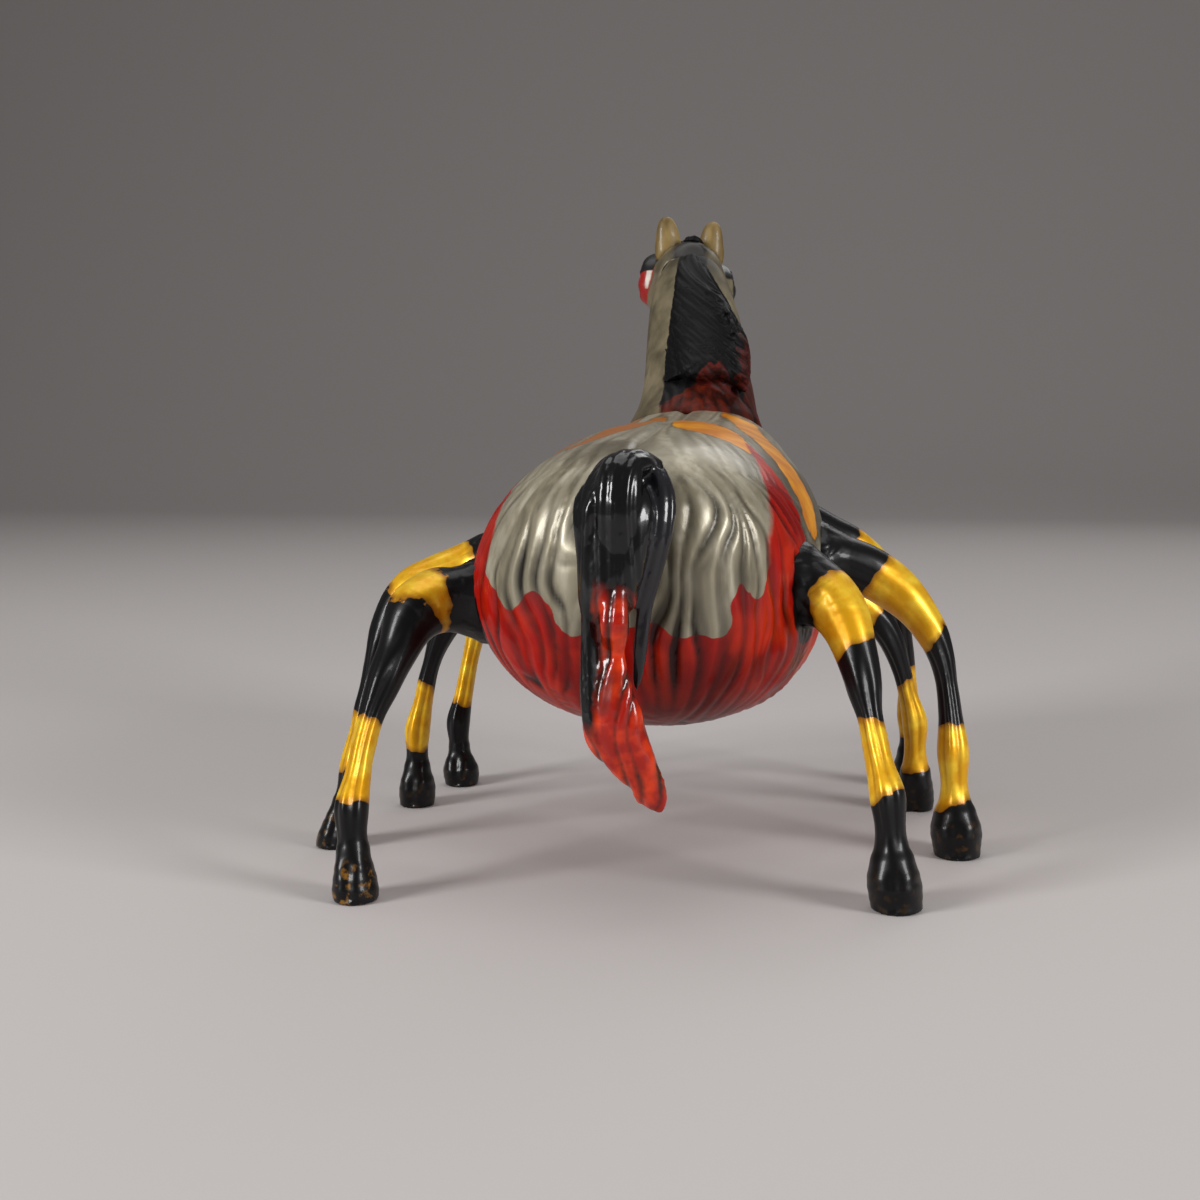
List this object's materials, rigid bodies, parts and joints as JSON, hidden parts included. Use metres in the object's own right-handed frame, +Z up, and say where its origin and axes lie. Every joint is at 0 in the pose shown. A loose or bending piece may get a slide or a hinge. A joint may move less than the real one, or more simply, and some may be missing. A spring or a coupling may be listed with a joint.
{
  "type": "horse figurine",
  "caption": "Small glossy hand-painted horse figurine with a round, spider-like body on slender arched legs, a crest mane and a hanging tail; stands on its hooves for display",
  "frame": {"origin": "on the surface that the hooves stand on, at the middle of the whole figure's footprint", "axes": "+Z up, +Y towards the horse's head, +X towards the horse's right side"},
  "size_m": [0.0818, 0.1122, 0.084],
  "materials": {
    "body_paint": "cast resin, pearl taupe over deep red paint, gloss lacquer",
    "neck_paint": "cast resin, taupe paint, gloss lacquer",
    "head_paint": "cast resin, taupe, black and white paint, gloss lacquer",
    "ear_paint": "cast resin, ochre taupe paint, gloss lacquer",
    "eye_bead": "polished black bead",
    "mane_paint": "cast resin, black paint with rust red tips, gloss lacquer",
    "tail_paint": "cast resin, black paint over red, gloss lacquer",
    "leg_paint": "cast resin, bands of black and pearl yellow paint, gloss lacquer",
    "steel_wire": "bright drawn steel wire"
  },
  "bodies": {
    "root": {"body": "body_paint", "neck": "neck_paint", "head": "head_paint", "left_ear": "ear_paint", "right_ear": "ear_paint", "left_eye": "eye_bead", "right_eye": "eye_bead", "mane": "mane_paint", "forelock": "mane_paint", "tail": "tail_paint", "left_hind_leg": "leg_paint", "right_hind_leg": "leg_paint", "left_rear_middle_leg": "leg_paint", "right_rear_middle_leg": "leg_paint", "left_front_middle_leg": "leg_paint", "right_front_middle_leg": "leg_paint", "left_foreleg": "leg_paint", "right_foreleg": "leg_paint", "left_hind_leg_wire": "steel_wire", "right_hind_leg_wire": "steel_wire", "left_rear_middle_leg_wire": "steel_wire", "right_rear_middle_leg_wire": "steel_wire", "left_front_middle_leg_wire": "steel_wire", "right_front_middle_leg_wire": "steel_wire", "left_foreleg_wire": "steel_wire", "right_foreleg_wire": "steel_wire", "neck_pin": "steel_wire", "head_pin": "steel_wire", "tail_pin": "steel_wire"}
  },
  "joints": []
}
